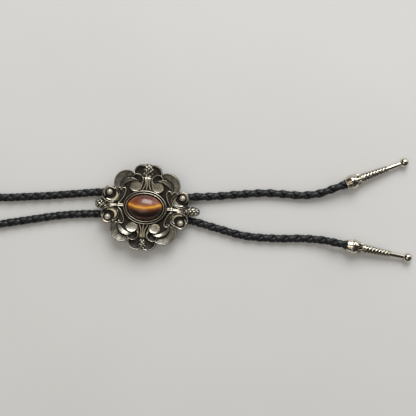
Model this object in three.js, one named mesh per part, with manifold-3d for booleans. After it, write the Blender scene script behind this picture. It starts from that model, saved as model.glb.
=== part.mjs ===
// A bolo tie lying on a table: a braided leather cord that goes round the neck, a cast ornament that slides
// on both strands with a stone in its middle, and a metal tip on each end of the cord.
// Millimetres, +Z up. +X runs along the ornament's long axis towards the tips, +Z out of its face, and the
// origin lies under the ornament's centre on the surface that everything rests on.
import * as THREE from "three";
import { mergeVertices } from "three/addons/utils/BufferGeometryUtils.js";
import Module from "manifold-3d";

const wasm = await Module();
wasm.setup();

// Fits
const CLEARANCE = 0.3; // air between pieces that touch

// Cord: round four-strand braid of black leather
const CORD_DIAMETER = 4.1;
const CORD_SIDES = 8;
const CORD_STEP = 12; // length of one straight stretch of the tube

// Clip behind the ornament: a floor plate with three upright walls, which make two channels for the cord
const CLIP_LENGTH = 20;
const CLIP_PLATE = 1;
const CLIP_WALL = 1.1;
const CHANNEL_SPACING = 12; // between the two cord centres

// Stone: an oval cabochon of the standard 18 x 13 size
const STONE_LENGTH = 18.2;
const STONE_WIDTH = 13.1;
const STONE_DOME = 4.6;
const STONE_GIRDLE = 1;

// Bezel: an inner rim that grips the stone, a groove, and a lower outer rim
const BEZEL_RIM = 0.85;
const BEZEL_GROOVE = 0.7;
const BEZEL_OUTER_RIM = 0.8;
const BEZEL_FLARE = 0.35;
const SEAT_HEIGHT = 3; // stone seat above the casting's back

// Cast ornament. The tables below give places and sizes as shares of the first three.
const ORNAMENT_HALF_LENGTH = 23.3; // centre to the outer edge of a side volute
const ORNAMENT_HALF_WIDTH = 22.7; // centre to the top of a crown lobe
const RELIEF_HEIGHT = 4.8; // casting's back to the bezel's top
const BASE_THICKNESS = 1.3;
const RIM_WIDTH = 0.75; // raised edge of each lobe, cup and curl
const BALL_DIAMETER = 3.1;
const FLOWER_BREADTH = 5.8;

// Tip, from its cord end along its axis: a fluted collar, a bell that narrows, an engraved cone, a smooth
// neck and a ball
const COLLAR_LENGTH = 3.4;
const COLLAR_END_DIAMETER = 5.9;
const COLLAR_DIAMETER = 7.5;
const COLLAR_FLUTES = 14;
const FLUTE_DEPTH = 0.35;
const SOCKET_DEPTH = 6;
const BELL_LENGTH = 5.4;
const BELL_DIAMETER = 8;
const CONE_LENGTH = 12.6;
const CONE_DIAMETER = 4.9;
const CONE_END_DIAMETER = 3.5;
const NECK_LENGTH = 9.8;
const NECK_DIAMETER = 2.1;
const END_BALL_DIAMETER = 4.9;

// Facets round the turned pieces
const TIP_SIDES = 14;
const BALL_RINGS = 6;
const BEZEL_SIDES = 40;
const STONE_SIDES = 32;
const STONE_RINGS = 6;
const BASE_SIDES = 24;
const LOBE_SIDES = 20;
const CUP_SIDES = 14;
const STRAND_SIDES = 6;

// Shares that shape the profiles
const DISH_FLOOR = 0.6; // flat floor of a dished form, of the radius inside its rim
const FORM_FOOT = 0.95; // a form's foot, of its radius
const FORM_ROOM = 0.97; // what a form clears of the layers below it, of its radius
const HOLLOW_FLOOR = 0.86; // a hollow's floor, of its mouth
const ROD_TAPER = 0.85; // a strand's far end, of its radius
const STONE_FOOT = 0.96; // the stone's flat back, of its outline
const BELL_LIP = 0.94; // the bell's edge towards the collar, of its radius
const GROOVE_DEPTH = 0.86; // groove between bell and cone, of the cone's radius
const EDGE_ROUNDING = 0.4; // length of the small bevels along the tip

// Worked out from the sizes above
const cordRadius = CORD_DIAMETER / 2;
const clipLift = CLIP_PLATE + CLEARANCE; // how far the clip's plate lifts the cord off the table
const castingBack = CLIP_PLATE + CORD_DIAMETER + 2 * CLEARANCE;
const channelY = CHANNEL_SPACING / 2;

// Base plate under the forms: two crossed ovals, as shares of the half length and of the half width
const BASE_OVALS = [
  { halfLong: 0.86, halfWide: 0.344 },
  { halfLong: 0.585, halfWide: 0.86 },
];

// Heights of the bezel's steps, as shares of the relief height
const BEZEL_HEIGHTS = { inner: 1, outer: 0.84, groove: 0.7, shoulder: 0.5 };

// Each table row below is one raised or hollow form of the ornament's upper right quarter, from the lowest
// layer to the highest. across is a share of the half length; up, long and wide are shares of the half width;
// rim and dish are shares of the relief height; turn is in degrees.
const FORMS = [
  { form: "crown lobe", across: 0.133, up: 0.802, long: 0.194, wide: 0.194, turn: 0, rim: 0.52, dish: 0.29 },
  { form: "corner lobe", across: 0.459, up: 0.533, long: 0.304, wide: 0.304, turn: 0, rim: 0.56, dish: 0.31 },
  { form: "crown curl", across: 0.208, up: 0.678, long: 0.128, wide: 0.128, turn: 0, rim: 0.66, dish: 0.4 },
  { form: "crescent", across: 0.391, up: 0.441, long: 0.234, wide: 0.234, turn: 0, rim: 0.71, dish: 0.54 },
  { form: "leaf", across: 0.592, up: 0.225, long: 0.181, wide: 0.101, turn: 104.5, rim: 0.62, dish: 0.35 },
  { form: "ball cup", across: 0.833, up: 0.295, long: 0.137, wide: 0.137, turn: 0, rim: 0.6, dish: 0.3 },
  { form: "volute", across: 0.777, up: 0.22, long: 0.22, wide: 0.172, turn: 0, rim: 0.68, dish: 0.5 },
  { form: "inner cup", across: 0.255, up: 0.478, long: 0.139, wide: 0.139, turn: 0, rim: 0.77, dish: 0.62 },
];

// Hollows cut into the forms: the crescent is what its hollow leaves of a disc, and so is the volute's.
const VOLUTE_FLOOR = 0.27;
const HOLLOWS = [
  { after: "crescent", across: 0.343, up: 0.388, long: 0.203, wide: 0.203, floor: 0.33 },
  { after: "volute", across: 0.811, up: 0.251, long: 0.15, wide: 0.141, floor: VOLUTE_FLOOR },
];

// Ball in each volute's hollow, as shares of the half length and half width. It stands on the hollow's floor,
// and seat is the height of its centre above that floor as a share of its radius.
const BALL_PLACE = { across: 0.833, up: 0.29, seat: 0.77 };

// Strands of the stems, in pairs left and right of each stem's own axis. start and end are shares of the
// stem's half length or half width; offsets, radii and heights are shares of the relief height.
const STRANDS = [
  { start: 0.38, end: 0.76, startOffset: 0, endOffset: 0, radius: 0.17, height: 0.56 },
  { start: 0.4, end: 0.75, startOffset: 0.46, endOffset: 0.2, radius: 0.13, height: 0.54 },
];
const SIDE_STRANDS = [
  { start: 0.47, end: 0.94, startOffset: 0, endOffset: 0, radius: 0.16, height: 0.5 },
  { start: 0.52, end: 0.94, startOffset: 0.22, endOffset: 0.16, radius: 0.11, height: 0.48 },
];
const STEM_BED = { width: 0.72, sideWidth: 0.5, height: 0.48 };

// Flower clusters, one at the outer end of each stem. heading is the way it points, in degrees; start is its
// near end and reach its far end, as shares of the half length or half width along that heading.
const FLOWERS = [
  { heading: 0, start: 0.9, reach: 1.25 },
  { heading: 90, start: 0.735, reach: 1.02 },
  { heading: 180, start: 0.9, reach: 1.145 },
  { heading: 270, start: 0.735, reach: 1.01 },
];

// Pieces of one flower. spread is the turn from its axis in degrees; near and far count along that turn as
// shares of the flower's length, breadth is a share of its breadth, and thickness and height are shares of
// the relief height.
const PETALS = [
  { spread: 0, near: -0.1, far: 0.6, breadth: 0.85, thickness: 0.7, height: 0.4 },
  { spread: 0, near: 0.35, far: 1, breadth: 0.46, thickness: 0.55, height: 0.46 },
  { spread: 22, near: 0.35, far: 0.98, breadth: 0.44, thickness: 0.52, height: 0.43 },
  { spread: 46, near: 0.15, far: 0.84, breadth: 0.44, thickness: 0.5, height: 0.4 },
  { spread: 14, near: 0.05, far: 0.7, breadth: 0.42, thickness: 0.4, height: 0.62 },
];

// Where each tip lies: its cord end and the way it points, in degrees from +X
const TIPS = {
  tip_upper: { base: [104.8, 22.2], heading: 25.7 },
  tip_lower: { base: [108.2, -9.9], heading: -6.4 },
};

// Cord routes, chosen by hand: x, y, and the share of the clip's lift and of the tip's lift at that point
const NECK_ROUTE = [
  [-0.15, 6, 1],
  [-5, 6, 1],
  [-10.5, 6, 1],
  [-16, 6.2, 0.85],
  [-24, 6, 0.4],
  [-38, 3.8, 0],
  [-51.7, 1.5, 0],
  [-64.4, -0.3, 0],
  [-77.6, -1.9, 0],
  [-104, -1.5, 0],
  [-130, 5.5, 0],
  [-154, 17.5, 0],
  [-180, 33, 0],
  [-210, 47, 0],
  [-243, 51, 0],
  [-275, 42, 0],
  [-299, 21, 0],
  [-311, -9, 0],
  [-308, -41, 0],
  [-291, -69, 0],
  [-265, -87.5, 0],
  [-233, -94, 0],
  [-201, -87, 0],
  [-172, -70.5, 0],
  [-147, -51, 0],
  [-122, -34, 0],
  [-99, -22.8, 0],
  [-76.2, -16, 0],
  [-61.6, -12.4, 0],
  [-47, -8.9, 0],
  [-37, -7.1, 0.02],
  [-24, -5.7, 0.4],
  [-16, -5.8, 0.85],
  [-10.5, -6, 1],
  [-5, -6, 1],
  [-0.15, -6, 1],
];
const TAIL_UPPER_ROUTE = [
  [0.15, 6, 1, 0],
  [5, 6, 1, 0],
  [10.5, 6.1, 1, 0],
  [16, 6.8, 0.85, 0],
  [23, 7.7, 0.4, 0],
  [36.5, 9.4, 0, 0],
  [49.9, 11.7, 0, 0],
  [63.1, 13.6, 0, 0],
  [72, 13.9, 0, 0],
  [82.8, 14.2, 0, 0.15],
  [91.7, 16.1, 0, 0.5],
];
const TAIL_LOWER_ROUTE = [
  [0.15, -6, 1, 0],
  [5, -6, 1, 0],
  [10.5, -5.8, 1, 0],
  [16, -5.2, 0.85, 0],
  [23.5, -4.8, 0.4, 0],
  [37.8, -7.4, 0, 0],
  [54.1, -10.2, 0, 0],
  [72.7, -9.9, 0, 0],
  [85, -8.7, 0, 0.15],
  [96, -8.6, 0, 0.55],
];

const antiqueSilver = new THREE.MeshStandardMaterial({ color: 0x8b867a, roughness: 0.4, metalness: 0.9 });
const nickelSilver = new THREE.MeshStandardMaterial({ color: 0xc9c5bd, roughness: 0.22, metalness: 1 });
const plainSteel = new THREE.MeshStandardMaterial({ color: 0x9a9a98, roughness: 0.45, metalness: 0.9 });
const tigerEye = new THREE.MeshStandardMaterial({ color: 0x7a3c12, roughness: 0.12, metalness: 0 });
const blackLeather = new THREE.MeshStandardMaterial({ color: 0x17181a, roughness: 0.55, metalness: 0 });

const bolo = new THREE.Group();
bolo.name = "bolo_tie";

// A closed geometry as a solid that can be joined and cut
function solid(geometry) {
  const bare = geometry.clone();
  bare.deleteAttribute("normal");
  bare.deleteAttribute("uv");
  const merged = mergeVertices(bare, 1e-4);
  return new wasm.Manifold(
    new wasm.Mesh({
      numProp: 3,
      vertProperties: new Float32Array(merged.attributes.position.array),
      triVerts: new Uint32Array(merged.index.array),
    }),
  );
}

// A cast piece is sound metal: the surface of a space that is closed all round is left out.
function withoutVoids(shape) {
  return wasm.Manifold.compose(shape.decompose().filter((body) => body.volume() > 0));
}

function geometryOf(shape) {
  const mesh = shape.getMesh();
  const geometry = new THREE.BufferGeometry();
  geometry.setAttribute("position", new THREE.BufferAttribute(mesh.vertProperties, 3));
  geometry.setIndex(new THREE.BufferAttribute(mesh.triVerts, 1));
  geometry.computeVertexNormals();
  return geometry;
}

function addPiece(name, geometry, material) {
  const mesh = new THREE.Mesh(geometry, material);
  mesh.name = name;
  bolo.add(mesh);
  return mesh;
}

// A profile of [radius, height] pairs turned round +Z
function turned(profile, sides) {
  const points = profile.map(([radius, height]) => new THREE.Vector2(radius, height));
  return new THREE.LatheGeometry(points, sides).rotateX(Math.PI / 2);
}

// A profile of [offset, height] pairs carried round an ellipse; offset counts outwards from the ellipse
function carriedRoundOval(profile, halfLength, halfWidth, sides) {
  const base = Math.max(halfLength, halfWidth);
  const geometry = turned(profile.map(([offset, height]) => [base + offset, height]), sides);
  const place = geometry.attributes.position;
  for (let i = 0; i < place.count; i += 1) {
    const angle = Math.atan2(place.getY(i), place.getX(i));
    const offset = Math.hypot(place.getX(i), place.getY(i)) - base;
    place.setX(i, (halfLength + offset) * Math.cos(angle));
    place.setY(i, (halfWidth + offset) * Math.sin(angle));
  }
  return geometry;
}

// Ornament

function quarters(place) {
  const copies = [];
  for (const sideX of [1, -1]) {
    for (const sideY of [1, -1]) {
      copies.push({
        x: sideX * place.across * ORNAMENT_HALF_LENGTH,
        y: sideY * place.up * ORNAMENT_HALF_WIDTH,
        turn: sideX * sideY * THREE.MathUtils.degToRad(place.turn ?? 0),
      });
    }
  }
  return copies;
}

function sidesFor(radius) {
  return radius > ORNAMENT_HALF_WIDTH / 5 ? LOBE_SIDES : CUP_SIDES;
}

// A saucer with a rounded raised rim: the lobe, cup, curl or leaf of one table row
function dishedForm(row) {
  const halfLong = row.long * ORNAMENT_HALF_WIDTH;
  const halfWide = row.wide * ORNAMENT_HALF_WIDTH;
  const rim = RIM_WIDTH / halfWide;
  const top = row.rim * RELIEF_HEIGHT;
  const floor = row.dish * RELIEF_HEIGHT;
  const profile = [
    [0, -BASE_THICKNESS],
    [FORM_FOOT, -BASE_THICKNESS],
    [1, top - RIM_WIDTH / 3],
    [1 - rim / 2, top],
    [1 - rim, top - RIM_WIDTH / 3],
    [(1 - rim) * DISH_FLOOR, floor],
    [0, floor],
  ];
  return turned(profile, sidesFor(halfLong)).scale(halfLong, halfWide, 1);
}

// Straight-sided oval block that clears the space of one form or hollow; it flares when wider at the top
function clearing(row, share, from, flare) {
  const halfLong = row.long * ORNAMENT_HALF_WIDTH * share;
  const halfWide = row.wide * ORNAMENT_HALF_WIDTH * share;
  const top = 2 * RELIEF_HEIGHT;
  const profile = [
    [0, from],
    [flare, from],
    [1, RELIEF_HEIGHT],
    [1, top],
    [0, top],
  ];
  return turned(profile, sidesFor(halfLong)).scale(halfLong, halfWide, 1);
}

function placed(geometry, copy) {
  return solid(geometry.clone().rotateZ(copy.turn).translate(copy.x, copy.y, 0));
}

function basePlate() {
  const half = BASE_THICKNESS;
  const disc = turned([[0, -half], [1, -half], [1, half], [0, half]], BASE_SIDES);
  const ovals = BASE_OVALS.map(({ halfLong, halfWide }) =>
    solid(disc.clone().scale(halfLong * ORNAMENT_HALF_LENGTH, halfWide * ORNAMENT_HALF_WIDTH, 1)),
  );
  return ovals[0].add(ovals[1]);
}

function bezelProfile() {
  const innerTop = BEZEL_HEIGHTS.inner * RELIEF_HEIGHT;
  const outerTop = BEZEL_HEIGHTS.outer * RELIEF_HEIGHT;
  const grooveFloor = BEZEL_HEIGHTS.groove * RELIEF_HEIGHT;
  const inside = CLEARANCE;
  const innerEdge = inside + BEZEL_RIM;
  const grooveEdge = innerEdge + BEZEL_GROOVE;
  const outerEdge = grooveEdge + BEZEL_OUTER_RIM;
  return {
    outerEdge,
    rows: [
      [inside, -BASE_THICKNESS],
      [outerEdge + BEZEL_FLARE, -BASE_THICKNESS],
      [outerEdge + BEZEL_FLARE, BEZEL_HEIGHTS.shoulder * RELIEF_HEIGHT],
      [outerEdge, outerTop - BEZEL_FLARE],
      [outerEdge - BEZEL_OUTER_RIM / 2, outerTop],
      [grooveEdge, grooveFloor],
      [innerEdge, grooveFloor],
      [innerEdge - BEZEL_RIM / 5, innerTop - BEZEL_RIM / 5],
      [innerEdge - BEZEL_RIM / 2, innerTop],
      [inside, innerTop - BEZEL_RIM / 3],
      [inside, -BASE_THICKNESS],
    ],
  };
}

function rod(from, to, radius) {
  const along = to.clone().sub(from);
  const geometry = new THREE.CylinderGeometry(radius * ROD_TAPER, radius, along.length(), STRAND_SIDES);
  const turn = new THREE.Quaternion().setFromUnitVectors(new THREE.Vector3(0, 1, 0), along.normalize());
  geometry.applyQuaternion(turn);
  const middle = from.clone().add(to).multiplyScalar(0.5);
  return geometry.translate(middle.x, middle.y, middle.z);
}

// Strands along +X of a stem whose lengths are shares of reach; turned later to their heading
function stem(rows, reach, bedWidth) {
  const bedHeight = STEM_BED.height * RELIEF_HEIGHT;
  const bedStart = rows[0].start * reach;
  const bedLength = rows[0].end * reach - bedStart;
  const bed = new THREE.BoxGeometry(bedLength, bedWidth * RELIEF_HEIGHT, 2 * bedHeight);
  bed.translate(bedStart + bedLength / 2, 0, 0);
  const pieces = [bed];
  for (const row of rows) {
    for (const side of row.startOffset ? [1, -1] : [1]) {
      const height = row.height * RELIEF_HEIGHT;
      const from = new THREE.Vector3(row.start * reach, side * row.startOffset * RELIEF_HEIGHT, height);
      const to = new THREE.Vector3(row.end * reach, side * row.endOffset * RELIEF_HEIGHT, height);
      pieces.push(rod(from, to, row.radius * RELIEF_HEIGHT));
    }
  }
  return pieces;
}

// A cluster of faceted petals along +X
function flower(row, reach) {
  const start = row.start * reach;
  const length = row.reach * reach - start;
  const pieces = [];
  for (const petal of PETALS) {
    const spread = THREE.MathUtils.degToRad(petal.spread);
    for (const side of petal.spread ? [1, -1] : [1]) {
      const geometry = new THREE.OctahedronGeometry(0.5);
      geometry.scale(petal.far - petal.near, petal.breadth, petal.thickness * RELIEF_HEIGHT);
      geometry.translate((petal.near + petal.far) / 2, 0, petal.height * RELIEF_HEIGHT);
      geometry.rotateZ(side * spread).scale(length, FLOWER_BREADTH, 1);
      pieces.push(geometry.translate(start, 0, 0));
    }
  }
  return pieces;
}

function slideCasting() {
  let casting = basePlate();
  for (const row of FORMS) {
    const saucer = dishedForm(row);
    const room = clearing(row, FORM_ROOM, BASE_THICKNESS / 2, 1);
    for (const copy of quarters(row)) {
      casting = casting.subtract(placed(room, copy)).add(placed(saucer, copy));
    }
    for (const hollow of HOLLOWS.filter(({ after }) => after === row.form)) {
      const cut = clearing(hollow, 1, hollow.floor * RELIEF_HEIGHT, HOLLOW_FLOOR);
      for (const copy of quarters(hollow)) {
        casting = casting.subtract(placed(cut, copy));
      }
    }
  }
  const ballRadius = BALL_DIAMETER / 2;
  const ball = new THREE.SphereGeometry(ballRadius, 10, 6);
  ball.translate(0, 0, VOLUTE_FLOOR * RELIEF_HEIGHT + BALL_PLACE.seat * ballRadius);
  for (const copy of quarters(BALL_PLACE)) {
    casting = casting.add(placed(ball, copy));
  }
  for (const row of FLOWERS) {
    const sideways = row.heading % 180 === 0;
    const reach = sideways ? ORNAMENT_HALF_LENGTH : ORNAMENT_HALF_WIDTH;
    const strands = sideways ? SIDE_STRANDS : STRANDS;
    const bedWidth = sideways ? STEM_BED.sideWidth : STEM_BED.width;
    for (const geometry of [...stem(strands, reach, bedWidth), ...flower(row, reach)]) {
      casting = casting.add(solid(geometry.rotateZ(THREE.MathUtils.degToRad(row.heading))));
    }
  }
  const halfLength = STONE_LENGTH / 2;
  const halfWidth = STONE_WIDTH / 2;
  const bezel = bezelProfile();
  const top = 2 * RELIEF_HEIGHT;
  const room = turned([[0, BASE_THICKNESS], [1, BASE_THICKNESS], [1, top], [0, top]], BEZEL_SIDES);
  room.scale(halfLength + bezel.outerEdge, halfWidth + bezel.outerEdge, 1);
  const seat = [[0, -BASE_THICKNESS], [1, -BASE_THICKNESS], [1, SEAT_HEIGHT], [0, SEAT_HEIGHT]];
  const floor = turned(seat, BEZEL_SIDES);
  floor.scale(halfLength + CLEARANCE + BEZEL_RIM / 2, halfWidth + CLEARANCE + BEZEL_RIM / 2, 1);
  casting = casting.subtract(solid(room)).add(solid(floor));
  casting = casting.add(solid(carriedRoundOval(bezel.rows, halfLength, halfWidth, BEZEL_SIDES)));
  const below = new THREE.BoxGeometry(6 * ORNAMENT_HALF_LENGTH, 6 * ORNAMENT_HALF_WIDTH, RELIEF_HEIGHT);
  casting = casting.subtract(solid(below.translate(0, 0, -RELIEF_HEIGHT / 2)));
  return withoutVoids(casting);
}

function cabochon() {
  const profile = [[0, 0], [STONE_FOOT, 0], [1, STONE_GIRDLE / 3], [1, STONE_GIRDLE]];
  for (let i = 1; i <= STONE_RINGS; i += 1) {
    const angle = (i / STONE_RINGS) * (Math.PI / 2);
    profile.push([i === STONE_RINGS ? 0 : Math.cos(angle), STONE_GIRDLE + STONE_DOME * Math.sin(angle)]);
  }
  return turned(profile, STONE_SIDES).scale(STONE_LENGTH / 2, STONE_WIDTH / 2, 1);
}

// Clip

function backClip() {
  const halfWidth = channelY + cordRadius + CLEARANCE + CLIP_WALL;
  const channelHalf = cordRadius + CLEARANCE;
  const top = castingBack - CLEARANCE;
  const outline = new THREE.Shape();
  outline.moveTo(-halfWidth, 0);
  outline.lineTo(halfWidth, 0);
  outline.lineTo(halfWidth, top);
  for (const middle of [channelY, -channelY]) {
    outline.lineTo(middle + channelHalf, top);
    outline.lineTo(middle + channelHalf, CLIP_PLATE);
    outline.lineTo(middle - channelHalf, CLIP_PLATE);
    outline.lineTo(middle - channelHalf, top);
  }
  outline.lineTo(-halfWidth, top);
  outline.closePath();
  const geometry = new THREE.ExtrudeGeometry(outline, { depth: CLIP_LENGTH, bevelEnabled: false });
  return geometry.translate(0, 0, -CLIP_LENGTH / 2).rotateX(Math.PI / 2).rotateZ(Math.PI / 2);
}

// Tips

const bellAt = COLLAR_LENGTH;
const tipLength = COLLAR_LENGTH + BELL_LENGTH + CONE_LENGTH + NECK_LENGTH + END_BALL_DIAMETER;
const endBallAt = tipLength - END_BALL_DIAMETER / 2;

// A tip lies on its bell and its end ball, so its axis slopes down towards the ball.
function tipSlope() {
  const reach = endBallAt - bellAt;
  const bellRadius = BELL_DIAMETER / 2;
  const longest = Math.hypot(reach, bellRadius);
  return Math.atan2(bellRadius, reach) - Math.asin(END_BALL_DIAMETER / 2 / longest);
}

const slope = tipSlope();
const tipLift = (BELL_DIAMETER / 2) * Math.cos(slope) + bellAt * Math.sin(slope) - cordRadius;

function tipAxis({ base, heading }) {
  const angle = THREE.MathUtils.degToRad(heading);
  const start = new THREE.Vector3(base[0], base[1], cordRadius + tipLift);
  const along = new THREE.Vector3(Math.cos(angle), Math.sin(angle), -Math.tan(slope)).normalize();
  return { start, along };
}

// The collar's outer wall has a flute every second facet.
function flutedCollar(bore) {
  const profile = [
    [bore, 0],
    [COLLAR_END_DIAMETER / 2, 0],
    [COLLAR_DIAMETER / 2, COLLAR_LENGTH],
    [bore, COLLAR_LENGTH],
    [bore, 0],
  ];
  const geometry = turned(profile, 2 * COLLAR_FLUTES);
  const place = geometry.attributes.position;
  for (let i = 0; i < place.count; i += 1) {
    const radius = Math.hypot(place.getX(i), place.getY(i));
    const facet = Math.round((Math.atan2(place.getY(i), place.getX(i)) / Math.PI) * COLLAR_FLUTES);
    const cut = radius > bore + CLEARANCE / 2 && facet % 2 !== 0 ? FLUTE_DEPTH : 0;
    place.setX(i, place.getX(i) * (1 - cut / radius));
    place.setY(i, place.getY(i) * (1 - cut / radius));
  }
  return geometry;
}

function tip(place) {
  const bore = cordRadius + CLEARANCE;
  const bell = BELL_DIAMETER / 2;
  const coneStart = bellAt + BELL_LENGTH;
  const coneEnd = coneStart + CONE_LENGTH;
  const coneRadius = CONE_DIAMETER / 2;
  const groove = coneRadius * GROOVE_DEPTH;
  const coneEndRadius = CONE_END_DIAMETER / 2;
  const neck = NECK_DIAMETER / 2;
  const ball = END_BALL_DIAMETER / 2;
  const profile = [
    [0, SOCKET_DEPTH],
    [bore, SOCKET_DEPTH],
    [bore, bellAt - EDGE_ROUNDING],
    [bell * BELL_LIP, bellAt - EDGE_ROUNDING],
    [bell, bellAt],
    [bell * (1 + BELL_LIP) / 2, bellAt + EDGE_ROUNDING],
    [groove, coneStart - EDGE_ROUNDING],
    [groove, coneStart],
    [coneRadius, coneStart + EDGE_ROUNDING],
    [(coneRadius + coneEndRadius) / 2, coneStart + CONE_LENGTH / 2],
    [coneEndRadius, coneEnd],
  ];
  const ballStart = Math.asin(neck / ball);
  for (let i = 0; i <= BALL_RINGS; i += 1) {
    const angle = ballStart + ((Math.PI - ballStart) * i) / BALL_RINGS;
    profile.push([i === BALL_RINGS ? 0 : ball * Math.sin(angle), endBallAt - ball * Math.cos(angle)]);
  }
  const { start, along } = tipAxis(place);
  const geometry = geometryOf(solid(turned(profile, TIP_SIDES)).add(solid(flutedCollar(bore))));
  geometry.applyQuaternion(new THREE.Quaternion().setFromUnitVectors(new THREE.Vector3(0, 0, 1), along));
  return geometry.translate(start.x, start.y, start.z);
}

// Cords

function liftedPoint([x, y, inClip = 0, atTip = 0]) {
  return new THREE.Vector3(x, y, cordRadius + inClip * clipLift + atTip * tipLift);
}

// The last points of a tail run along its tip's axis into the socket.
function tailPoints(route, place) {
  const { start, along } = tipAxis(place);
  const end = SOCKET_DEPTH - CLEARANCE;
  const straight = [-end, 0, end / 2, end].map((distance) => start.clone().addScaledVector(along, distance));
  return [...route.map(liftedPoint), ...straight];
}

function cord(points) {
  const path = new THREE.CatmullRomCurve3(points, false, "centripetal");
  path.arcLengthDivisions = 1200;
  const section = new THREE.Shape();
  for (let i = 0; i < CORD_SIDES; i += 1) {
    const angle = ((i + 0.5) / CORD_SIDES) * 2 * Math.PI;
    const corner = [cordRadius * Math.cos(angle), cordRadius * Math.sin(angle)];
    if (i === 0) section.moveTo(...corner);
    else section.lineTo(...corner);
  }
  section.closePath();
  const steps = Math.ceil(path.getLength() / CORD_STEP);
  return new THREE.ExtrudeGeometry(section, { steps, extrudePath: path, bevelEnabled: false });
}

addPiece("slide_casting", geometryOf(slideCasting()), antiqueSilver).position.z = castingBack;
addPiece("cabochon", cabochon(), tigerEye).position.z = castingBack + SEAT_HEIGHT + CLEARANCE;
addPiece("back_clip", backClip(), plainSteel);
addPiece("neck_loop", cord(NECK_ROUTE.map(liftedPoint)), blackLeather);
addPiece("tail_upper", cord(tailPoints(TAIL_UPPER_ROUTE, TIPS.tip_upper)), blackLeather);
addPiece("tail_lower", cord(tailPoints(TAIL_LOWER_ROUTE, TIPS.tip_lower)), blackLeather);
addPiece("tip_upper", tip(TIPS.tip_upper), nickelSilver);
addPiece("tip_lower", tip(TIPS.tip_lower), nickelSilver);

export default bolo;
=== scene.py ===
# %% [markdown]
# # A bolo tie, piece by piece
# A bolo tie is a braided leather cord that is worn like a necktie. A cast ornament slides on both of its
# strands, and each of its two free ends has a metal tip. This lesson dresses a model that was built in CAD:
# the CAD pieces give every size and place, and each cell adds one surface or one finish around them.

# %% Load the frame
import math

import bpy
import numpy as np
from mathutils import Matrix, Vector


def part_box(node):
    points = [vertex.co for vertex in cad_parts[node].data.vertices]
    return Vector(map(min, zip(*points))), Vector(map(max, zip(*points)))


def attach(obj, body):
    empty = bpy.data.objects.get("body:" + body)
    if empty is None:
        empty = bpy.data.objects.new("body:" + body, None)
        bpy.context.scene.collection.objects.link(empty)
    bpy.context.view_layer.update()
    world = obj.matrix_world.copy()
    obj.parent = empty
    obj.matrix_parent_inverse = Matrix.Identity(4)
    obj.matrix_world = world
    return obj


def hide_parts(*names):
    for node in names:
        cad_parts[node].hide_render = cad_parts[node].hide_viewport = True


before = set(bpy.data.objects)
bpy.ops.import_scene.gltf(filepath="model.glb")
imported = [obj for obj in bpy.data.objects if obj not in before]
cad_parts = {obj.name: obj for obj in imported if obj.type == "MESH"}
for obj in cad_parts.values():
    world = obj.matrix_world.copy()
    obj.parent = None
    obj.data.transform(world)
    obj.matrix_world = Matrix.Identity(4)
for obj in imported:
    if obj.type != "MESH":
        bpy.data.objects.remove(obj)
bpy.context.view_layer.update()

MM = 0.001

# %% [markdown]
# ## The view
# The photo looks straight down on the table, with the ornament turned a few degrees. A camera turned by the
# same angle sees the same picture. It stands well back with a long lens, because a near camera would make
# the raised ornament look larger than the cord that lies on the table.

# %% Camera
VIEW_TURN = math.radians(5.356)
VIEW_CENTRE = (33.08, 2.80, 4.0)
VIEW_WIDTH = 221.3
CAMERA_DISTANCE = 460.0

camera_data = bpy.data.cameras.new("camera")
camera_data.sensor_width = 36.0
camera_data.lens = camera_data.sensor_width * CAMERA_DISTANCE / VIEW_WIDTH
camera_data.clip_start = 0.01
camera = bpy.data.objects.new("camera", camera_data)
camera.location = (VIEW_CENTRE[0] * MM, VIEW_CENTRE[1] * MM, (VIEW_CENTRE[2] + CAMERA_DISTANCE) * MM)
camera.rotation_euler = (0.0, 0.0, VIEW_TURN)
bpy.context.scene.collection.objects.link(camera)
bpy.context.scene.camera = camera
print(f"Camera {CAMERA_DISTANCE:.0f} mm above the table, lens {camera_data.lens:.1f} mm")

# %% [markdown]
# ## Shader maths in Python
# A finish is a formula: how dark, how rough and how bumpy each spot is. Nodes can hold that formula, but a
# screen full of Math nodes is hard to read. Here a small class wraps a socket, so that `1 - mask * 0.5`
# adds the nodes by itself, and one method adds every other kind of node.

# %% Socket maths
def math_methods(operation):
    """The two methods that Python calls for `signal - other` and for `other - signal`."""
    def straight(self, other):
        return self.graph.math(operation, self, other)

    def reflected(self, other):
        return self.graph.math(operation, other, self)

    return straight, reflected


class Signal:
    """One number that changes over a surface. Plus, minus, times and divided by add Math nodes."""

    __add__, __radd__ = math_methods("ADD")
    __sub__, __rsub__ = math_methods("SUBTRACT")
    __mul__, __rmul__ = math_methods("MULTIPLY")
    __truediv__, __rtruediv__ = math_methods("DIVIDE")

    def __init__(self, graph, socket):
        self.graph = graph
        self.socket = socket


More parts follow.
